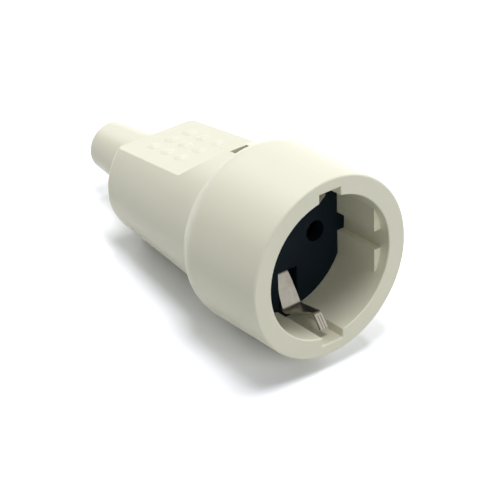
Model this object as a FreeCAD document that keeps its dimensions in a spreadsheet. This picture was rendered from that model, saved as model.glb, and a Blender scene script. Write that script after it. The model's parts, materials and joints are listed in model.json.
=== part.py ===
import FreeCAD, Part
import math
import os
import Sketcher

# Inline socket connector, lying on its side as it comes to rest: the cup's shoulder and the
# rear rim of the grip touch the surface.  Every piece is drawn along the socket axis, X, with
# the mouth of the cup at X = 0 facing +X and the finger pad on top, and is then placed at rest.
# Sizes are in mm.  Radii grow outwards from the two pins, lengths backwards from the mouth.

SIZES = {
    # The plug's side: pins, recess and the earth clips' channels.
    "pin_radius": 2.4,
    "pin_offset": 9.5,
    "pin_hole_play": 0.5,
    "recess_depth": 17.4,
    "flat_inset": 2.35,
    "flat_setback": 3.2,
    "groove_half": 2.7,
    "channel_half": 3.45,
    "channel_depth": 2.1,
    "edge_round": 0.35,
    # The cup.
    "cup_wall": 5.35,
    "socket_depth": 8.8,
    "mouth_round": 0.5,
    "shoulder_radius": 9.16,
    "rim_land": 0.4,
    "ledge_thick": 2.2,
    "ledge_step": 4.1,
    "latch_inset": 1.1,
    "latch_long": 2.6,
    "latch_width": 8.6,
    "latch_height": 1.3,
    # Clearances.
    "slide_gap": 0.1,
    "thread_gap": 0.03,
    "rest_gap": 0.05,
    "seam_gap": 0.45,
    "spare": 1.0,
    # The carrier.
    "plate_thick": 3.9,
    "front_wall": 3.0,
    "chamber_play": 1.0,
    "boss_wall": 1.6,
    "boss_overhang": 1.6,
    "back_thick": 2.5,
    "tail_length": 23.45,
    "tail_margin": 3.0,
    "tail_drop": 3.9,
    "tail_floor": 2.0,
    "cradle_length": 9.5,
    "fin_thick": 1.2,
    "fin_reach": 9.5,
    "fin_rise": 4.5,
    # The line contacts and the terminal blocks.
    "sleeve_play": 0.05,
    "sleeve_wall": 0.85,
    "sleeve_setback": 2.4,
    "sleeve_floor": 1.0,
    "slit_width": 0.7,
    "slit_length": 7.4,
    "block_spacing": 3.1,
    "block_height": 7.0,
    "block_length": 9.0,
    "wire_hole": 1.7,
    "wire_depth": 7.0,
    "tap_setback": 3.6,
    "spring_setback": 1.6,
    "spring_length": 2.4,
    "spring_wall": 0.6,
    # The earth parts.
    "strip_thick": 0.8,
    "strip_bend": 1.5,
    "leg_height": 9.35,
    "leg_half": 1.75,
    "tail_tab_half": 1.0,
    "foot_half": 2.95,
    "tip_half": 1.15,
    "bar_half": 3.0,
    "bar_centre": 4.0,
    "bar_end": 11.2,
    "foot_reach": 1.3,
    "foot_rise": 0.8,
    "crest_inset": 3.9,
    "tip_drop": 0.3,
    "rivet_radius": 1.2,
    "rivet_head_radius": 2.1,
    "rivet_head": 0.7,
    "rivet_length": 3.0,
    # The cord's side.
    "cord_radius": 4.6,
    "clamp_screw_inset": 3.4,
    "clamp_setback": 5.0,
    "clamp_bar_length": 6.4,
    "clamp_bar_thick": 4.6,
    "clamp_pinch": 0.8,
    "clamp_gap": 0.2,
    "nut_side": 5.5,
    "nut_thick": 2.0,
    "gland_wall": 2.35,
    "gland_flare": 1.95,
    "gland_length": 22.0,
    "gland_round": 1.3,
    "gland_root_round": 1.0,
    # Screws.
    "big_screw": 1.5,
    "big_head": 2.7,
    "big_head_height": 1.9,
    "terminal_screw": 1.42,
    "terminal_screw_length": 3.3,
    "terminal_screw_lift": 0.4,
    "small_screw": 1.0,
    "ledge_head": 1.8,
    "ledge_head_height": 1.3,
    "ledge_screw_length": 4.6,
    "ledge_screw_inset": 2.2,
    "back_head": 2.2,
    "back_head_height": 1.4,
    "back_screw_length": 9.0,
    "back_screw_inset": 2.5,
    "driver_slot": 0.7,
    # The grip.
    "grip_length": 39.45,
    "grip_step": 1.25,
    "grip_taper": 3.75,
    "grip_wall": 2.3,
    "rim_round": 1.6,
    "spigot_wall": 2.1,
    "spigot_clear": 2.3,
    "pad_cut": 5.45,
    "pad_round": 0.6,
    "pad_setback": 10.95,
    "ramp_setback": 2.9,
    "nub_radius": 1.95,
    "nub_height": 0.55,
    "nub_pitch": 6.0,
    "nub_setback": 13.9,
    "release_half": 2.7,
    "release_length": 4.4,
    "release_through": 3.3,
    "release_drop": 0.3,
}

doc = FreeCAD.newDocument("inline_socket")
sheet = doc.addObject("Spreadsheet::Sheet", "Dims")
for row, (alias, value) in enumerate(SIZES.items(), 1):
    sheet.set("A%d" % row, alias)
    sheet.set("B%d" % row, str(value))
    sheet.setAlias("B%d" % row, alias)
doc.recompute()


class Size:
    """A length that knows its number and the sheet expression it comes from."""

    def __init__(self, value, text):
        self.value = value
        self.text = text

    def join(self, other, sign, value):
        return Size(value, "(%s %s %s)" % (self.text, sign, wrap(other).text))

    def __add__(self, other):
        return self.join(other, "+", self.value + wrap(other).value)

    def __sub__(self, other):
        return self.join(other, "-", self.value - wrap(other).value)

    def __mul__(self, other):
        return self.join(other, "*", self.value * wrap(other).value)

    def __neg__(self):
        return Size(-self.value, "(0 - %s)" % self.text)


def wrap(item):
    return item if isinstance(item, Size) else Size(float(item), repr(float(item)))


def dim(alias):
    return Size(float(sheet.get(alias)), "Dims." + alias)


def bind(item, prop, size):
    item.setExpression(prop, wrap(size).text)


# Tool solids

ALONG_X = FreeCAD.Rotation(FreeCAD.Vector(0, 1, 0), 90)


def place(item, at, turn=None):
    """Puts a tool solid at a point whose coordinates come from the sheet."""
    spot = [wrap(v) for v in at]
    item.Placement = FreeCAD.Placement(FreeCAD.Vector(*[s.value for s in spot]), turn or FreeCAD.Rotation())
    for letter, size in zip("xyz", spot):
        bind(item, "Placement.Base." + letter, size)
    return item


def rod(name, radius, start, length, y=0, z=0):
    """A round bar along the socket axis from X = start towards +X."""
    item = doc.addObject("Part::Cylinder", name)
    bind(item, "Radius", radius)
    bind(item, "Height", length)
    return place(item, (start, y, z), ALONG_X)


def post(name, radius, x, y, low, height):
    """An upright round bar."""
    item = doc.addObject("Part::Cylinder", name)
    bind(item, "Radius", radius)
    bind(item, "Height", height)
    return place(item, (x, y, low))


def block(name, x, y, z, length, width, height):
    """A box from its low corner."""
    item = doc.addObject("Part::Box", name)
    bind(item, "Length", length)
    bind(item, "Width", width)
    bind(item, "Height", height)
    return place(item, (x, y, z))


def band(name, x, length, half_width, half_height):
    """A box centred on the socket axis."""
    return block(name, x, -half_width, -half_height, length, half_width * 2, half_height * 2)


def fuse(name, *pieces):
    item = doc.addObject("Part::MultiFuse", name)
    item.Shapes = list(pieces)
    item.Refine = True
    return item


def cut(name, base, *tools):
    item = doc.addObject("Part::Cut", name)
    item.Base = base
    item.Tool = tools[0] if len(tools) == 1 else fuse(name + "_voids", *tools)
    return item


def common(name, *pieces):
    item = doc.addObject("Part::MultiCommon", name)
    item.Shapes = list(pieces)
    return item


# Sketched bodies


def closed_outline(sketch, points):
    """Straight and arc edges through points (x, y).  An arc is ("arc", cx, cy) between two
    points, and the point after it may be held in one direction only, (x, y, "x")."""
    corners = []
    arcs = {}
    for point in points:
        if point[0] == "arc":
            arcs[len(corners) - 1] = (wrap(point[1]), wrap(point[2]))
        else:
            corners.append((wrap(point[0]), wrap(point[1]), point[2] if len(point) == 3 else "xy"))
    count = len(corners)
    vectors = [FreeCAD.Vector(x.value, y.value, 0) for x, y, held in corners]
    ends = {}
    for i in range(count):
        a = vectors[i]
        b = vectors[(i + 1) % count]
        ends[i] = (1, 2)
        if i not in arcs:
            sketch.addGeometry(Part.LineSegment(a, b), False)
            continue
        centre = FreeCAD.Vector(arcs[i][0].value, arcs[i][1].value, 0)
        start = math.atan2(a.y - centre.y, a.x - centre.x)
        stop = math.atan2(b.y - centre.y, b.x - centre.x)
        if (stop - start) % (2 * math.pi) > math.pi:
            start, stop = stop, start
            ends[i] = (2, 1)
        if stop < start:
            stop += 2 * math.pi
        circle = Part.Circle(centre, FreeCAD.Vector(0, 0, 1), (a - centre).Length)
        sketch.addGeometry(Part.ArcOfCircle(circle, start, stop), False)
    for i in range(count):
        after = (i + 1) % count
        sketch.addConstraint(Sketcher.Constraint("Coincident", i, ends[i][1], after, ends[after][0]))
    for i, (x, y, held) in enumerate(corners):
        hold(sketch, i, ends[i][0], x, y, held)
    for i, (x, y) in arcs.items():
        hold(sketch, i, 3, x, y, "xy")


def hold(sketch, edge, vertex, x, y, held):
    for kind, letter, size in (("DistanceX", "x", x), ("DistanceY", "y", y)):
        if letter in held:
            index = sketch.addConstraint(Sketcher.Constraint(kind, edge, vertex, size.value))
            sketch.setExpression("Constraints[%d]" % index, size.text)


def sketched(name, points):
    """A body with its outline drawn in the XZ plane."""
    body = doc.addObject("PartDesign::Body", name)
    sketch = body.newObject("Sketcher::SketchObject", name + "_outline")
    plane = next(f for f in body.Origin.OriginFeatures if f.Role == "XZ_Plane")
    sketch.AttachmentSupport = [(plane, "")]
    sketch.MapMode = "FlatFace"
    closed_outline(sketch, points)
    return body, sketch


def turned(name, points):
    """A body turned about the socket axis from its half section (x, radius)."""
    body, sketch = sketched(name, points)
    turn = body.newObject("PartDesign::Revolution", name + "_turn")
    turn.Profile = sketch
    turn.ReferenceAxis = (sketch, ["H_Axis"])
    turn.Angle = 360
    return body


def side_slab(name, points, half_width):
    """A body padded both ways from its side view (x, z)."""
    body, sketch = sketched(name, points)
    pad = body.newObject("PartDesign::Pad", name + "_pad")
    pad.Profile = sketch
    pad.SideType = "Symmetric"
    bind(pad, "Length", half_width * 2)
    return body


def slotted_screw(name, head_radius, head_height, shank_radius, shank_length):
    """A screw pointing down: head underside at Z = 0, shank below, slot across the head."""
    head = post(name + "_head", head_radius, 0, 0, 0, head_height)
    shank = post(name + "_shank", shank_radius, 0, 0, -shank_length, shank_length)
    slot = dim("driver_slot")
    groove = block(name + "_groove", -head_radius * 1.2, -slot * 0.5, head_height * 0.45,
                   head_radius * 2.4, slot, head_height)
    return cut(name, fuse(name + "_blank", head, shank), groove)


def rounded(name, base, picks, radius):
    """Rounds the edges of base that picks(box) accepts."""
    doc.recompute()
    item = doc.addObject("Part::Fillet", name)
    item.Base = base
    item.Edges = [(n, radius.value, radius.value)
                  for n, edge in enumerate(base.Shape.Edges, 1) if picks(edge.BoundBox)]
    return item


parts = {}


def finish(name, item, at=(0, 0, 0), turn=None):
    """Names a sub-part; at and turn put it on the socket axis before the rest pose."""
    item.Label = name
    spot = FreeCAD.Vector(*[wrap(v).value for v in at])
    item.Placement = FreeCAD.Placement(spot, turn or FreeCAD.Rotation())
    parts[name] = item


# Derived sizes

slide = dim("slide_gap")
rest_gap = dim("rest_gap")
thread = dim("thread_gap")
spare = dim("spare")
pin_y = dim("pin_offset")
pin = dim("pin_radius")
sleeve_bore = pin + dim("sleeve_play")
sleeve_outer = sleeve_bore + dim("sleeve_wall")
chamber = sleeve_outer + dim("chamber_play")
boss_radius = pin_y + chamber + dim("boss_wall")
recess = boss_radius + dim("ledge_step")
cup = recess + dim("cup_wall")
flat_half = recess - dim("flat_inset")
groove_half = dim("groove_half")
channel = dim("channel_half")
reach = recess + dim("channel_depth")
spigot_bore = recess - slide
latch_reach = spigot_bore + dim("latch_height")
latch_half = dim("latch_width") * 0.5

front = dim("recess_depth")
seat = front + dim("plate_thick") + slide
ledge_back = seat + dim("ledge_thick")
SHOULDER_RUN = 0.764
shoulder = dim("shoulder_radius")
cup_back = ledge_back + dim("socket_depth")
shoulder_end = cup_back - dim("rim_land")
straight = shoulder_end - shoulder * SHOULDER_RUN
rim_radius = cup - shoulder * (1 - math.sqrt(1 - SHOULDER_RUN ** 2))
spigot_front = ledge_back + dim("spigot_clear")
latch_front = spigot_front + dim("latch_inset")
latch_back = latch_front + dim("latch_long")
boss_back = cup_back + dim("boss_overhang")
plate_back = boss_back + rest_gap + dim("back_thick")
grip_front = cup_back + dim("seam_gap")
grip_back = grip_front + dim("grip_length")
gland_end = grip_back + dim("gland_length")
screw_y = recess - dim("ledge_screw_inset")
back_screw_z = boss_radius - dim("back_screw_inset")
screw_hole = dim("small_screw") + slide * 2
tap = dim("small_screw") + rest_gap

# Cup housing: a turned shell with a keyed recess, a ledge behind the insert and a rear socket
# that takes the grip's spigot.

mouth = dim("mouth_round")
cup_blank = turned("cup_blank", [
    (0, 0), (0, cup - mouth),
    ("arc", -mouth, cup - mouth), (-mouth, cup, "x"),
    (-straight, cup),
    ("arc", -straight, cup - shoulder), (-shoulder_end, rim_radius, "x"),
    (-cup_back, rim_radius - dim("rim_land")),
    (-cup_back, 0),
])


def keyed_prism(name, start, length, gap):
    """The recess's outline: a circle with two flats, two side grooves and two deep channels."""
    circle = rod(name + "_circle", recess - gap, start, length)
    flats = common(name + "_flats", circle, band(name + "_width", start, length, flat_half - gap, cup))
    far_circle = rod(name + "_key_circle", recess - gap, start, length)
    keys = common(name + "_keys", far_circle, band(name + "_key_band", start, length, cup, groove_half - gap))
    channels = band(name + "_channels", start, length, channel - gap, reach - gap)
    return fuse(name, flats, keys, channels)


def latch_ring(name, gap):
    ring = rod(name + "_ring", latch_reach - gap * 2, -latch_back + gap * 2, latch_back - latch_front - gap * 4)
    width = band(name + "_width", -latch_back, latch_back - latch_front, latch_half - gap * 2, cup)
    return common(name, ring, width)


cup_voids = [
    keyed_prism("recess", -seat, seat + spare, wrap(0)),
    rod("mouth_bore", recess, -dim("flat_setback"), dim("flat_setback") + spare),
    rod("ledge_hole", boss_radius + slide * 2, -cup_back, cup_back),
    rod("spigot_socket", spigot_bore, -cup_back - spare, cup_back + spare - ledge_back),
    latch_ring("latch_pockets", wrap(0)),
]
for n, side in enumerate((-1, 1)):
    cup_voids.append(rod("ledge_screw_hole_%d" % n, screw_hole, -ledge_back - spare,
                         dim("ledge_thick") + spare * 2, screw_y * side))


def at_mouth(box):
    return box.XLength < 0.01 and abs(box.XMax) < 0.01 and max(box.YMax, box.ZMax) < cup.value - mouth.value * 2


cup_cut = cut("cup_cut", cup_blank, *cup_voids)
finish("cup_housing", rounded("cup_housing", cup_cut, at_mouth, dim("edge_round")))

# Contact carrier: the black insert, keyed to the recess, with a boss through the ledge.

plate = keyed_prism("plate", -seat + slide, dim("plate_thick"), slide)
boss = rod("boss", boss_radius, -boss_back, boss_back - seat + slide * 2)
chamber_front = front + dim("front_wall")
leg_z = dim("leg_height")
leg_half = dim("leg_half")
foot_half = dim("foot_half")
thick = dim("strip_thick")
bar_half = dim("bar_half")
bar_end = dim("bar_end")
pocket_low = leg_z - thick * 1.9
pocket_high = recess - dim("foot_rise") - thick
pocket_middle = (pocket_low + pocket_high) * 0.5
pocket_half = (pocket_high - pocket_low) * 0.5
carrier_voids = [
    band("bar_slot", -boss_back - spare, spare + thick + slide * 2, bar_half + slide, bar_end + slide),
    rod("rivet_pocket", dim("rivet_head_radius") + slide * 2, -boss_back,
        thick + slide * 3 + dim("rivet_head")),
]
for n, side in enumerate((-1, 1)):
    carrier_voids += [
        rod("pin_hole_%d" % n, pin + dim("pin_hole_play"), -seat, seat, pin_y * side),
        rod("chamber_%d" % n, chamber, -boss_back - spare, boss_back + spare - chamber_front, pin_y * side),
        block("leg_slot_%d" % n, -boss_back - spare, -leg_half - slide, leg_z * side - thick,
              boss_back, (leg_half + slide) * 2, thick * 2),
        block("blade_pocket_%d" % n, -chamber_front - slide * 2, -foot_half - slide * 2,
              pocket_middle * side - pocket_half, dim("front_wall") * 2, (foot_half + slide * 2) * 2,
              pocket_half * 2),
        rod("ledge_tap_%d" % n, tap, -seat, dim("ledge_screw_length") - dim("ledge_thick") + slide * 3,
            screw_y * side),
        rod("back_tap_%d" % n, tap, -boss_back - spare, dim("back_screw_length"), 0, back_screw_z * side),
    ]
finish("contact_carrier", cut("contact_carrier", fuse("carrier_blank", plate, boss), *carrier_voids))

# Line contacts: a split sleeve for a round pin, a collar that the back plate traps, and a
# clamp block with a wire hole and a tapped hole.

block_half = pin_y * 0.5 - dim("block_spacing") * 0.5
tall_half = dim("block_height") * 0.5
block_back = boss_back + dim("block_length")
sleeve_front = chamber_front + dim("sleeve_setback")
sleeve_end = boss_back - dim("sleeve_floor")
slit = dim("slit_width")
slit_start = -sleeve_front - dim("slit_length")
tap_x = -block_back + dim("tap_setback")
terminal_tap = dim("terminal_screw") + thread
spring_inner = sleeve_outer + thread
spring_long = dim("spring_length")
spring_x = -sleeve_front - dim("spring_setback") - spring_long
for label, side in (("left", -1), ("right", 1)):
    y = pin_y * side
    key = "contact_" + label
    solid = fuse(key + "_solid",
                 rod(key + "_tube", sleeve_outer, -sleeve_end, sleeve_end - sleeve_front, y),
                 rod(key + "_collar", chamber - slide, -boss_back, boss_back - sleeve_end, y),
                 block(key + "_clamp", -block_back, y - block_half, -tall_half,
                       block_back - boss_back, block_half * 2, tall_half * 2))
    slit_long = dim("slit_length") + spare
    finish(key, cut(
        key, solid,
        rod(key + "_bore", sleeve_bore, -sleeve_end, sleeve_end, y),
        block(key + "_upright_slit", slit_start, y - slit * 0.5, -chamber, slit_long, slit, chamber * 2),
        block(key + "_level_slit", slit_start, y - chamber, -slit * 0.5, slit_long, chamber * 2, slit),
        rod(key + "_wire", dim("wire_hole"), -block_back - spare, dim("wire_depth") + spare, y),
        post(key + "_tap", terminal_tap, tap_x, y, 0, tall_half + spare)))

    key = "contact_spring_" + label
    finish(key, cut(
        key, rod(key + "_outer", spring_inner + dim("spring_wall"), spring_x, spring_long, y),
        rod(key + "_hole", spring_inner, spring_x - spare, spring_long + spare * 2, y),
        block(key + "_gap", spring_x - spare, y - slit * 0.5, 0, spring_long + spare * 2, slit, chamber)))

# Earth terminal block between the two contacts, held to the bar by a rivet.

rivet = dim("rivet_radius")
rivet_long = dim("rivet_length")
bar_x = -boss_back + slide
rivet_start = bar_x + thick + rest_gap - rivet_long
finish("earth_terminal", cut(
    "earth_terminal",
    block("earth_block", -block_back, -block_half, -tall_half, block_back - boss_back, block_half * 2,
          tall_half * 2),
    rod("earth_wire", dim("wire_hole"), -block_back - spare, dim("wire_depth"), 0),
    post("earth_tap", terminal_tap, tap_x, 0, 0, tall_half + spare),
    rod("earth_rivet_hole", rivet + rest_gap, rivet_start - rest_gap, rivet_long)))
finish("earth_rivet", fuse(
    "earth_rivet",
    rod("rivet_shank", rivet, rivet_start, rivet_long + slide),
    rod("rivet_head", dim("rivet_head_radius"), bar_x + thick + rest_gap, dim("rivet_head"))))

# Earth parts: a bar behind the boss joins two bent clips.  Each clip has a leg that comes
# through the boss, a slanted blade, a foot along its channel and a sprung hook.

tab_half = dim("tail_tab_half")
bar_tools = [rod("bar_rivet_hole", rivet + rest_gap, bar_x - spare, thick + spare * 2)]
for n, side in enumerate((-1, 1)):
    bar_tools.append(block("bar_tab_slot_%d" % n, bar_x - spare, -tab_half - thread,
                           leg_z * side - thick * 0.5 - thread, thick + spare * 2, (tab_half + thread) * 2,
                           thick + thread * 2))
bar_blank = fuse("bar_blank", band("bar_middle", bar_x, thick, bar_half, dim("bar_centre")),
                 band("bar_arms", bar_x, thick, leg_half + slide * 3, bar_end))
finish("earth_bar", cut("earth_bar", bar_blank, *bar_tools))


def bent_strip(path, radius, thickness, half_width):
    """A flat strip along a bent path of (x, z) corners, each bend an arc."""
    half = thickness / 2
    corners = [FreeCAD.Vector(x, 0, z) for x, z in path]
    above = []
    below = []
    for i, p in enumerate(corners):
        arrive = (p - corners[i - 1]).normalize() if i else None
        leave = (corners[i + 1] - p).normalize() if i + 1 < len(corners) else None
        if arrive is None or leave is None:
            along = leave or arrive
            across = FreeCAD.Vector(-along.z, 0, along.x) * half
            above.append([p + across])
            below.append([p - across])
            continue
        turn = math.acos(arrive.dot(leave))
        first = p - arrive * (radius * math.tan(turn / 2))
        last = p + leave * (radius * math.tan(turn / 2))
        inward = (leave - arrive).normalize()
        centre = p + inward * (radius / math.cos(turn / 2))
        for side, offset in ((above, half), (below, -half)):
            a = first + FreeCAD.Vector(-arrive.z, 0, arrive.x) * offset
            b = last + FreeCAD.Vector(-leave.z, 0, leave.x) * offset
            side.append([a, centre - inward * (a - centre).Length, b])
    chain = above + [group[::-1] for group in reversed(below)]
    edges = []
    for i, group in enumerate(chain):
        if len(group) == 3:
            edges.append(Part.Arc(*group).toShape())
        edges.append(Part.LineSegment(group[-1], chain[(i + 1) % len(chain)][0]).toShape())
    face = Part.Face(Part.Wire(edges))
    face.translate(FreeCAD.Vector(0, -half_width, 0))
    return face.extrude(FreeCAD.Vector(0, 2 * half_width, 0))


def prism(outline, axis, low, high):
    """A prism between low and high along X or Z from an outline in (y, z) or (x, y)."""
    if axis == "x":
        points = [FreeCAD.Vector(low, y, z) for y, z in outline]
        depth = FreeCAD.Vector(high - low, 0, 0)
    else:
        points = [FreeCAD.Vector(x, y, low) for x, y in outline]
        depth = FreeCAD.Vector(0, 0, high - low)
    return Part.Face(Part.makePolygon(points + points[:1])).extrude(depth)


def mirrored_outline(points):
    """An outline in (along, across) from its half on one side."""
    return points + [(x, -y) for x, y in reversed(points)]


def oriented_box(length, width, height, start, along):
    """A box whose length runs along a direction from the middle of its end face."""
    box = Part.makeBox(length, width, height, FreeCAD.Vector(0, -width / 2, -height / 2))
    box.Placement = FreeCAD.Placement(start, FreeCAD.Rotation(FreeCAD.Vector(1, 0, 0), along))
    return box


def earth_clip_shape():
    """The upper clip; the lower one is the same piece turned half round."""
    t = thick.value
    leg = leg_z.value
    foot = foot_half.value
    tip = dim("tip_half").value
    tab = tab_half.value
    narrow = leg_half.value
    bar_front = bar_x.value + t
    tab_back = bar_x.value - thread.value
    blade_x = -(chamber_front.value - t * 0.6)
    foot_x = -(front - dim("foot_reach")).value
    foot_point = FreeCAD.Vector(foot_x, 0, recess.value - dim("foot_rise").value)
    crest = FreeCAD.Vector(-front.value * 0.352, 0, recess.value - dim("crest_inset").value)
    end = FreeCAD.Vector(-front.value * 0.2, 0, recess.value - dim("tip_drop").value)
    blade_rise = foot_point.z - leg
    waist = (blade_x + (foot_x - blade_x) * 0.42, leg + blade_rise * 0.5)
    path = [(tab_back, leg), (blade_x, leg), waist] + [(p.x, p.z) for p in (foot_point, crest, end)]
    clip = bent_strip(path, dim("strip_bend").value, t, foot)
    shoulder_x = bar_front + thread.value
    bend_x = blade_x - t
    turn_x = foot_point.x + t * 1.5
    outer = recess.value + foot
    tab_plan = prism(mirrored_outline([(tab_back - t, tab), (shoulder_x, tab)]), "z", leg - t, leg + t)
    leg_plan = prism(mirrored_outline([(shoulder_x, narrow), (bend_x, narrow)]), "z", leg - t, leg + t)
    blade_front = [(leg - t * 1.5, narrow), (leg + t * 0.3, narrow),
                   (leg + blade_rise * 0.3, narrow + (foot - narrow) * 0.5),
                   (leg + blade_rise * 0.6, narrow + (foot - narrow) * 0.85),
                   (foot_point.z - t, foot), (outer, foot)]
    blade_view = prism([(y, z) for z, y in mirrored_outline(blade_front)], "x", bend_x, turn_x)
    sole = [(turn_x, foot), (crest.x - t * 1.9, tip), (0, tip)]
    sole_plan = prism(mirrored_outline(sole), "z", crest.z - foot, outer)
    clip = clip.common(tab_plan.fuse([leg_plan, blade_view, sole_plan]))
    run = (crest - foot_point).normalize()
    window = oriented_box(t * 1.7, t * 1.6, t * 3, foot_point + run * (t * 2.2), run)
    ramp = (end - crest).normalize()
    inner = FreeCAD.Vector(ramp.z, 0, -ramp.x)
    crease_start = crest + ramp * (t * 0.9) + inner * (t * 0.45)
    creases = [oriented_box(t * 6, t * 0.36, t * 0.5, crease_start + FreeCAD.Vector(0, t * side, 0), ramp)
               for side in (-0.5, 0.5)]
    return clip.cut([window] + creases)


for label, roll in (("upper", 0), ("lower", 180)):
    clip = doc.addObject("Part::Feature", "earth_clip_" + label)
    clip.Shape = earth_clip_shape()
    finish("earth_clip_" + label, clip, (0, 0, 0), FreeCAD.Rotation(FreeCAD.Vector(1, 0, 0), roll))

# Back plate of the carrier: windows for the three clamp blocks, fins between them, and a
# tail with a cradle for the cord.

cord = dim("cord_radius")
clamp_y = cord + dim("clamp_screw_inset")
tail_half = clamp_y + dim("tail_margin")
tail_low = cord + dim("tail_drop")
tail_long = dim("tail_length")
tail_back = plate_back + tail_long
clamp_x = -tail_back + dim("clamp_setback")
cradle_long = dim("cradle_length")
fin_half = dim("fin_thick") * 0.5
nut = dim("nut_side") + rest_gap * 2
clamp_hole = dim("big_screw") + slide
back_blank = fuse(
    "back_blank",
    rod("back_disc", boss_radius, -plate_back, dim("back_thick")),
    block("tail_floor_slab", -tail_back, -tail_half, -tail_low, tail_long + slide * 5, tail_half * 2,
          dim("tail_floor")),
    block("cradle", -tail_back, -tail_half, -tail_low, cradle_long, tail_half * 2, tail_low - dim("clamp_gap")),
    *[block("fin_%d" % n, -plate_back - dim("fin_reach"), pin_y * (0.5 * side) - fin_half, -tail_low,
            dim("fin_reach") + slide * 5, fin_half * 2, tail_low + dim("fin_rise"))
      for n, side in enumerate((-1, 1))])
back_tools = [rod("cord_trough", cord, -tail_back - spare, cradle_long + spare * 3)]
for n, side in enumerate((-1, 0, 1)):
    back_tools.append(block("block_window_%d" % n, -plate_back - spare, pin_y * side - block_half - slide,
                            -tall_half - slide, dim("back_thick") + spare * 2, (block_half + slide) * 2,
                            (tall_half + slide) * 2))
for n, side in enumerate((-1, 1)):
    back_tools += [
        rod("back_screw_hole_%d" % n, screw_hole, -plate_back - spare, dim("back_thick") + spare * 2,
            0, back_screw_z * side),
        post("clamp_hole_%d" % n, clamp_hole, clamp_x, clamp_y * side, -tail_low - spare, tail_low + spare * 2),
        block("nut_pocket_%d" % n, clamp_x - nut * 0.5, clamp_y * side - nut * 0.5, -tail_low - spare,
              nut, nut, dim("nut_thick") + slide + spare),
    ]
finish("carrier_back", cut("carrier_back", back_blank, *back_tools))

# Cord clamp: an arched bar over the cradle, two screws and two square nuts.

bar_long = dim("clamp_bar_length")
bar_low = dim("clamp_gap")
bar_tall = dim("clamp_bar_thick")
bar_top = bar_low + bar_tall
bar_side = tail_half - slide * 2
finish("cord_clamp_bar", cut(
    "cord_clamp_bar",
    block("clamp_blank", clamp_x - bar_long * 0.5, -bar_side, bar_low, bar_long, bar_side * 2, bar_tall),
    rod("clamp_arch", cord - dim("clamp_pinch"), clamp_x - bar_long, bar_long * 2),
    *[post("clamp_bar_hole_%d" % n, clamp_hole, clamp_x, clamp_y * side, 0, bar_top + spare)
      for n, side in enumerate((-1, 1))]))
for label, side in (("left", -1), ("right", 1)):
    y = clamp_y * side
    key = "cord_clamp_screw_" + label
    finish(key, slotted_screw(key, dim("big_head"), dim("big_head_height"), dim("big_screw"),
                              bar_top + tail_low - slide * 2), (clamp_x, y, bar_top))
    key = "cord_clamp_nut_" + label
    side_long = dim("nut_side")
    nut_blank = block(key + "_blank", -side_long * 0.5, -side_long * 0.5, 0, side_long, side_long,
                      dim("nut_thick"))
    nut_hole = post(key + "_hole", dim("big_screw") + thread, 0, 0, -spare, dim("nut_thick") + spare * 2)
    finish(key, cut(key, nut_blank, nut_hole), (clamp_x, y, -tail_low + rest_gap))

for label, side in (("left", -1), ("right", 1), ("earth", 0)):
    key = "terminal_screw_" + label
    screw = slotted_screw(key, dim("big_head"), dim("big_head_height"), dim("terminal_screw"),
                          dim("terminal_screw_length"))
    finish(key, screw, (tap_x, pin_y * side, tall_half + dim("terminal_screw_lift")))

# Screws along the axis: two hold the carrier to the ledge, two hold the back plate.

FACE_BACK = FreeCAD.Rotation(FreeCAD.Vector(0, 1, 0), -90)
for label, side in (("left", -1), ("right", 1)):
    key = "carrier_screw_" + label
    screw = slotted_screw(key, dim("ledge_head"), dim("ledge_head_height"), dim("small_screw"),
                          dim("ledge_screw_length"))
    finish(key, screw, (-ledge_back, screw_y * side, 0), FACE_BACK)
for label, side in (("upper", 1), ("lower", -1)):
    key = "back_screw_" + label
    screw = slotted_screw(key, dim("back_head"), dim("back_head_height"), dim("small_screw"),
                          dim("back_screw_length"))
    finish(key, screw, (-plate_back, 0, back_screw_z * side), FACE_BACK)

# Grip cover: a tapered shell in one piece with the cord sleeve and the spigot, a flat finger
# pad with nine nubs, and a release slot behind the cup.

grip_long = dim("grip_length")
taper = dim("grip_taper").value / grip_long.value
grip_radius = spigot_bore + dim("grip_step")
rim_round = dim("rim_round")
wall = dim("grip_wall")
gland_tip = cord + dim("gland_wall")
gland_root = gland_tip + dim("gland_flare")
gland_round = dim("gland_round")
root_round = dim("gland_root_round")


def cone_radius(back_by):
    """The grip's radius at a distance behind its front edge."""
    return grip_radius - wrap(back_by) * taper


rim_centre = cone_radius(grip_long - rim_round) - rim_round
grip_cone = turned("grip_cone", [
    (-grip_front, 0), (-grip_front, grip_radius),
    (-grip_back + rim_round, rim_centre + rim_round),
    ("arc", -grip_back + rim_round, rim_centre), (-grip_back, rim_centre, "y"),
    (-grip_back, gland_root + root_round),
    ("arc", -grip_back - root_round, gland_root + root_round), (-grip_back - root_round, gland_root, "x"),
    (-gland_end + gland_round, gland_tip),
    ("arc", -gland_end + gland_round, gland_tip - gland_round), (-gland_end, gland_tip - gland_round, "y"),
    (-gland_end, 0),
])
pad_setback = dim("pad_setback")
ramp_setback = dim("ramp_setback")


def pad_outline(drop):
    """Side view of what the finger pad cuts away, lowered by drop for the inside."""
    low = dim("pad_cut") + drop
    top = grip_radius * 1.5
    return [(-grip_back - spare, cone_radius(grip_long + spare) - low),
            (-grip_front - pad_setback, cone_radius(pad_setback) - low),
            (-grip_front - ramp_setback, cone_radius(ramp_setback) + spare * 0.5 - drop),
            (-grip_front - ramp_setback, top), (-grip_back - spare, top)]


def along_pad(box):
    return box.XLength > grip_long.value / 2 and box.ZMin > cord.value * 2 and abs(box.Center.y) > cord.value


grip_padded = cut("grip_padded", grip_cone, side_slab("pad_cutter", pad_outline(wrap(0)), grip_radius))
grip_eased = rounded("grip_eased", grip_padded, along_pad, dim("pad_round"))

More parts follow.
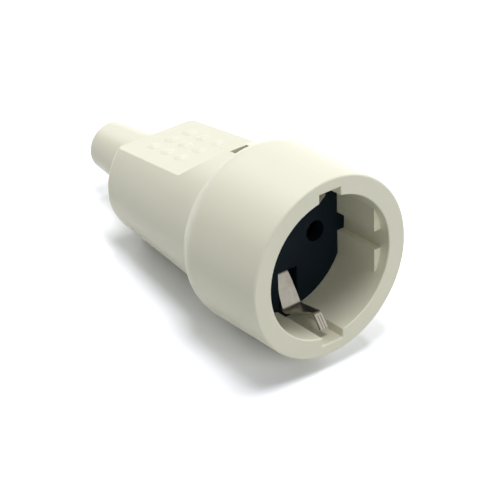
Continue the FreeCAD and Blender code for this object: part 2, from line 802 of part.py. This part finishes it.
nub_height = dim("nub_height")
nub_ball = (dim("nub_radius").value ** 2 + nub_height.value ** 2) / (2 * nub_height.value)
nubs = []
for i in (-1, 0, 1):
    back_by = grip_long - dim("nub_setback") + dim("nub_pitch") * i
    crown = cone_radius(back_by) - dim("pad_cut") + nub_height
    for j in (-1, 0, 1):
        nub = doc.addObject("Part::Sphere", "nub_%d_%d" % (i + 1, j + 1))
        bind(nub, "Radius", nub_ball)
        nubs.append(place(nub, (-grip_front - back_by, dim("nub_pitch") * j, crown - nub_ball)))
nub_reach = dim("nub_pitch") * 1.6
nub_layer = block("nub_layer", -grip_back + dim("nub_setback") - nub_reach, -nub_reach,
                  cone_radius(grip_long) - dim("pad_cut") - wall * 0.5, nub_reach * 2, nub_reach * 2, wall * 2)
spigot_outer = spigot_bore - slide
grip_solid = fuse(
    "grip_solid", grip_eased, common("nub_caps", fuse("nub_balls", *nubs), nub_layer),
    rod("spigot", spigot_outer, -grip_front - wall * 2, grip_front + wall * 2 - spigot_front),
    latch_ring("latch_teeth", slide))

spigot_inner = spigot_outer - dim("spigot_wall")
inner_step = wall * 2.4
cavity = cut(
    "cavity",
    turned("cavity_cone", [
        (-grip_front + spare, 0), (-grip_front + spare, spigot_inner), (-grip_front - wall * 1.7, spigot_inner),
        (-grip_front - inner_step, cone_radius(inner_step) - wall),
        (-grip_back + wall, cone_radius(grip_long - wall) - wall), (-grip_back + wall, 0)]),
    side_slab("cavity_roof", pad_outline(wall), grip_radius))
release = dim("release_half")
release_long = dim("release_length")
release_edge = dim("release_through")
release_cutter = side_slab("release_cutter", [
    (-grip_front - release_long, cone_radius(release_long)),
    (-grip_front - release_edge, cone_radius(release_edge) - dim("release_drop")),
    (-grip_front - release_edge, boss_radius),
    (-cup_back, boss_radius), (-cup_back, grip_radius * 1.5), (-grip_front - release_long, grip_radius * 1.5),
], release)
finish("grip_cover", cut(
    "grip_cover", grip_solid, cavity,
    rod("spigot_hollow", spigot_inner, -grip_front, grip_front + spare - spigot_front),
    rod("cord_hole", cord, -gland_end - spare, gland_end - grip_back + wall + spare * 2),
    release_cutter))

doc.recompute()

# Rest pose: the plane under the part touches the shoulder's round and the grip's rear round.

front_x = -straight.value
front_z = -(cup - shoulder).value
span_x = front_x + (grip_back - rim_round).value
span_z = -rim_centre.value - front_z
angle = math.asin((shoulder - rim_round).value / math.hypot(span_x, span_z)) + math.atan2(span_z, span_x)
sine = math.sin(angle)
cosine = math.cos(angle)
low = front_x * sine + front_z * cosine - shoulder.value
x_high = (cup - mouth).value * sine + mouth.value * (1 - cosine)
x_low = (gland_round - gland_end).value * cosine - (gland_tip - gland_round).value * sine - gland_round.value
middle = (x_high + x_low) / 2
rest = FreeCAD.Placement(FreeCAD.Vector(-middle, 0, -low),
                         FreeCAD.Rotation(FreeCAD.Vector(0, 1, 0), -math.degrees(angle)))
for item in parts.values():
    item.Placement = rest.multiply(item.Placement)
doc.recompute()
print("rest tilt %.4f deg, shift x %.4f z %.4f mm" % (math.degrees(angle), -middle, -low))

for item in doc.Objects:
    if {"Invalid", "Error"} & set(item.State):
        raise RuntimeError("%s failed: %s" % (item.Name, item.State))
for name, item in parts.items():
    if item.Shape.isNull() or not item.Shape.isValid():
        raise RuntimeError("%s has no sound shape" % name)
os.makedirs("parts", exist_ok=True)
for name, item in parts.items():
    item.Shape.exportStep("parts/%s.step" % name)
    print("%-26s %9.1f mm3 %d solid(s)" % (name, item.Shape.Volume, len(item.Shape.Solids)))
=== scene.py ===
import json
import math

import bpy
from mathutils import Matrix, Vector

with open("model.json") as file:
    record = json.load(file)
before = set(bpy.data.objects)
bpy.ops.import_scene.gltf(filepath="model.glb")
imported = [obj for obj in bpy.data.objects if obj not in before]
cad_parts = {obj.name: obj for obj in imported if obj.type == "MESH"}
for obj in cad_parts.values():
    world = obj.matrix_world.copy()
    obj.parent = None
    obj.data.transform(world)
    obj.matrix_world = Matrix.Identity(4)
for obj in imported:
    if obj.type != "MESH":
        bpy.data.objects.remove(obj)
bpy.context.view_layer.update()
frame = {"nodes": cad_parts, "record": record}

MM = 0.001

# How the part lies: the socket axis rises by TILT, and the mouth's centre is at AXIS_ORIGIN.
TILT = math.radians(9.821)
AXIS_ORIGIN = Vector((44.870, 0.0, 28.884)) * MM

# The camera, fitted to the photo: its place in mm and its directions, both along the socket axis.
CAMERA_PLACE = (361.6, -310.0, 271.7)
CAMERA_RIGHT = (0.6324, 0.7740, -0.0315)
CAMERA_UP = (-0.361, 0.3304, 0.8721)
FOCAL_LENGTH_PIXELS = 2200
PICTURE_WIDTH_PIXELS = 504
SENSOR_WIDTH_MM = 36
CLIP_START = 0.01
CLIP_END = 20

# The lamps: name, place in m, diameter in m, power in W. All of them face LAMP_TARGET.
LAMP_TARGET = (0, 0, 0.03)
LAMPS = (
    ("top_box", (0, -0.03, 1.0), 0.4, 4.4),
    ("front_box", (0.9, 0, 0.45), 0.6, 2.2),
    ("far_box", (0.1, 0.9, 0.5), 0.4, 3.3),
    ("rear_box", (-0.85, 0, 0.55), 0.6, 2.3),
    ("near_box", (-0.6, -0.6, 0.6), 0.6, 0.8),
    ("glint_box", (-0.5, 0.4, 0.8), 0.1, 1.6),
)

# The floor, in m: its colour as the camera sees it near the part and far from it, the distances
# between which one turns into the other, and its colour as it lights the part.
FLOOR_SIZE = 8.0
# FLOOR_SEEN is bluish: where the floor lies in the part's shadow this paints a blue tint into the
# shade, while the lit floor clips to white.
FLOOR_SEEN = (1.32, 1.34, 1.42)
FLOOR_SEEN_FAR = (4.0, 4.0, 4.0)
FAR_STARTS = 0.5
FAR_ENDS = 2.0
FLOOR_BOUNCE = (0.64, 0.65, 0.62)

# The sky's strength: as light on the part, and as the camera sees it.
SKY_LIGHT = 0.13
SKY_SEEN = 1.0

# The plastic's cloud and grain: noise scales in waves per metre, the grain's depth in m, and how
# far it changes the roughness.
CLOUD_SCALE = 60.0
GRAIN_SCALE = 2600.0
GRAIN_DEPTH = 0.00002
GRAIN_TO_ROUGH = 0.06

# The metal's lines and patches: the same, the strength of the lines' bump, and how much of both
# it takes to turn the dark metal light.
LINE_SCALE = 1500.0
LINE_DEPTH = 0.00001
LINE_BUMP = 0.3
LINE_TO_ROUGH = 0.15
LINE_TO_LIGHT = 0.5
PATCH_SCALE = 350.0
PATCH_TO_ROUGH = 0.25
PATCH_TO_LIGHT = 0.8
LIGHT_STARTS = 0.3

# The sockets of Blender's colour mix.
MIX_FACTOR = 0
MIX_FIRST = 6
MIX_SECOND = 7
MIX_RESULT = 2


def on_axis(x, y, z):
    """A point given along the socket axis, in mm from the mouth's centre, in the row frame."""
    turned_x = x * math.cos(TILT) - z * math.sin(TILT)
    turned_z = x * math.sin(TILT) + z * math.cos(TILT)
    return AXIS_ORIGIN + Vector((turned_x, y, turned_z)) * MM


def direction(x, y, z):
    """A unit vector in the row frame, given along the socket axis."""
    return (on_axis(x, y, z) - AXIS_ORIGIN).normalized()


# Node trees


class Maker:
    """Adds nodes to the tree of a material or of the world."""

    def __init__(self, owner):
        owner.use_nodes = True
        self.owner = owner
        self.tree = owner.node_tree
        self.tree.nodes.clear()

    def node(self, kind, sockets=None, settings=None, output=0):
        """A node with its settings, then with values or links in its sockets. Gives one output."""
        made = self.tree.nodes.new("ShaderNode" + kind)
        for name, value in (settings or {}).items():
            setattr(made, name, value)
        for key, value in (sockets or {}).items():
            if isinstance(value, Wire):
                self.tree.links.new(value.socket, made.inputs[key])
            else:
                made.inputs[key].default_value = value
        return Wire(self, made.outputs[output]) if made.outputs else None

    def maths(self, operation, first, second):
        return self.node("Math", {0: first, 1: second}, {"operation": operation})


class Wire:
    """An output socket that takes part in Python sums."""

    def __init__(self, maker, socket):
        self.maker = maker
        self.socket = socket

    def __add__(self, other):
        return self.maker.maths("ADD", self, other)

    def __sub__(self, other):
        return self.maker.maths("SUBTRACT", self, other)

    def __rsub__(self, other):
        return self.maker.maths("SUBTRACT", other, self)

    def __mul__(self, other):
        return self.maker.maths("MULTIPLY", self, other)

    __radd__ = __add__
    __rmul__ = __mul__


def object_point(m, scale=(1, 1, 1)):
    """The point on the surface, multiplied by scale and turned onto the socket axis."""
    point = m.node("TexCoord", output="Object")
    return m.node("Mapping", {"Vector": point, "Rotation": (0, TILT, 0), "Scale": scale})


def noise(m, point, scale, detail=3.0, roughness=0.5):
    sockets = {"Vector": point, "Scale": scale, "Detail": detail, "Roughness": roughness}
    return m.node("TexNoise", sockets, output="Fac")


def blend_colours(m, factor, first, second):
    """A colour between first and second. Each is a colour of three numbers, or a wire."""
    sockets = {MIX_FACTOR: factor}
    for key, colour in ((MIX_FIRST, first), (MIX_SECOND, second)):
        sockets[key] = colour if isinstance(colour, Wire) else (*colour, 1.0)
    return m.node("Mix", sockets, {"data_type": "RGBA"}, output=MIX_RESULT)


def seen_straight(m):
    """1 where the camera or a reflection looks at the surface, 0 where it only gives light."""
    camera_ray = m.node("LightPath", output="Is Camera Ray")
    glossy_ray = m.node("LightPath", output="Is Glossy Ray")
    return m.maths("MAXIMUM", camera_ray, glossy_ray)


# Materials


def surface(m, colour, rough, height, bump, depth, constants):
    """The shader of one finish, with its fine relief."""
    normal = m.node("Bump", {"Height": height, "Strength": bump, "Distance": depth})
    sockets = {"Base Color": colour, "Roughness": rough, "Normal": normal, **constants}
    m.node("OutputMaterial", {"Surface": m.node("BsdfPrincipled", sockets)})
    return m.owner


def moulded_plastic(name, light, dark, rough, grain, shine):
    """Moulded plastic: a faint cloud of two shades, and a fine grain."""
    m = Maker(bpy.data.materials.new(name))
    point = object_point(m)
    cloud = noise(m, point, CLOUD_SCALE)
    fine = noise(m, point, GRAIN_SCALE, detail=2.0)
    grained_rough = rough + (fine - 0.5) * GRAIN_TO_ROUGH
    return surface(m, blend_colours(m, cloud, dark, light), grained_rough, fine, grain, GRAIN_DEPTH,
                   {"Specular IOR Level": shine})


def plated_metal(name, light, dark, rough, along):
    """Rolled strip or turned bar: fine lines along the metal, with dull and bright patches."""
    m = Maker(bpy.data.materials.new(name))
    lines = noise(m, object_point(m, along), LINE_SCALE, detail=4.0, roughness=0.6)
    patches = noise(m, object_point(m), PATCH_SCALE, detail=4.0, roughness=0.6)
    shade = lines * LINE_TO_LIGHT + patches * PATCH_TO_LIGHT - LIGHT_STARTS
    shade = m.maths("MAXIMUM", m.maths("MINIMUM", shade, 1.0), 0.0)
    worn_rough = rough + (lines - 0.5) * LINE_TO_ROUGH + (0.5 - patches) * PATCH_TO_ROUGH
    return surface(m, blend_colours(m, shade, dark, light), worn_rough, lines, LINE_BUMP, LINE_DEPTH,
                   {"Metallic": 1.0})


finishes = {
    "ivory_plastic": moulded_plastic(
        "ivory_plastic", light=(0.868, 0.852, 0.706), dark=(0.852, 0.838, 0.688),
        rough=0.34, grain=0.12, shine=0.4),
    "black_plastic": moulded_plastic(
        "black_plastic", light=(0.0035, 0.0090, 0.0145), dark=(0.0022, 0.0068, 0.0112),
        rough=0.5, grain=0.2, shine=0.10),
    "nickel_plate": plated_metal(
        "nickel_plate", light=(0.68, 0.645, 0.58), dark=(0.40, 0.37, 0.32),
        rough=0.34, along=(0.12, 1, 0.12)),
    "brass": plated_metal(
        "brass", light=(0.80, 0.60, 0.26), dark=(0.70, 0.50, 0.20),
        rough=0.28, along=(1, 0.1, 1)),
    "zinc_steel": plated_metal(
        "zinc_steel", light=(0.62, 0.63, 0.64), dark=(0.52, 0.53, 0.55),
        rough=0.32, along=(1, 1, 0.2)),
}
slots = {subpart["node"]: subpart["material_slot"] for subpart in frame["record"]["subparts"]}
for name, node in frame["nodes"].items():
    for place in node.material_slots:
        place.material = finishes[slots[name]]


# Stage


def white_floor(name):
    """Diffuse floor that keeps the shadow; the camera and reflections see it as white paper.

    Its seen colour rises with the distance from the part, where the lamps reach less far.
    """
    m = Maker(bpy.data.materials.new(name))
    point = m.node("TexCoord", output="Object")
    away = m.node("VectorMath", {0: point}, {"operation": "LENGTH"}, output="Value")
    far = m.node("MapRange", {"Value": away, "From Min": FAR_STARTS, "From Max": FAR_ENDS})
    # Near the part the seen colour is bluish: painted blue tint that shows only in the floor's shadow,
    # the lit floor clipping to white.
    paper = blend_colours(m, far, FLOOR_SEEN, FLOOR_SEEN_FAR)
    colour = blend_colours(m, seen_straight(m), FLOOR_BOUNCE, paper)
    m.node("OutputMaterial", {"Surface": m.node("BsdfDiffuse", {"Color": colour})})
    return m.owner


def studio_sky():
    """A white surround that the camera sees at full strength and that lights the part faintly."""
    m = Maker(bpy.data.worlds.new("studio"))
    strength = m.node("MapRange", {"Value": seen_straight(m), "To Min": SKY_LIGHT, "To Max": SKY_SEEN})
    m.node("OutputWorld", {"Surface": m.node("Background", {"Strength": strength})})
    return m.owner


def softbox(name, place, diameter, power):
    """A round soft lamp that faces the part."""
    lamp = bpy.data.lights.new(name, "AREA")
    lamp.shape = "DISK"
    lamp.size = diameter
    lamp.energy = power
    holder = bpy.data.objects.new(name, lamp)
    bpy.context.collection.objects.link(holder)
    holder.location = place
    holder.rotation_mode = "QUATERNION"
    holder.rotation_quaternion = (Vector(LAMP_TARGET) - Vector(place)).to_track_quat("-Z", "Y")


def photo_camera():
    """The camera that sees the part as the photo does."""
    lens = bpy.data.cameras.new("camera")
    lens.sensor_width = SENSOR_WIDTH_MM
    lens.lens = FOCAL_LENGTH_PIXELS / PICTURE_WIDTH_PIXELS * SENSOR_WIDTH_MM
    lens.clip_start = CLIP_START
    lens.clip_end = CLIP_END
    camera = bpy.data.objects.new("camera", lens)
    bpy.context.collection.objects.link(camera)
    right = direction(*CAMERA_RIGHT)
    up = direction(*CAMERA_UP)
    turn = Matrix((right, up, right.cross(up))).transposed().to_4x4()
    camera.matrix_world = Matrix.Translation(on_axis(*CAMERA_PLACE)) @ turn
    return camera


bpy.ops.mesh.primitive_plane_add(size=FLOOR_SIZE)
floor = bpy.context.object
floor.name = "floor"
floor.data.materials.append(white_floor("floor_white"))
for name, place, diameter, power in LAMPS:
    softbox(name, place, diameter, power)
bpy.context.scene.world = studio_sky()
bpy.context.scene.camera = photo_camera()
bpy.context.scene.view_settings.view_transform = "Standard"
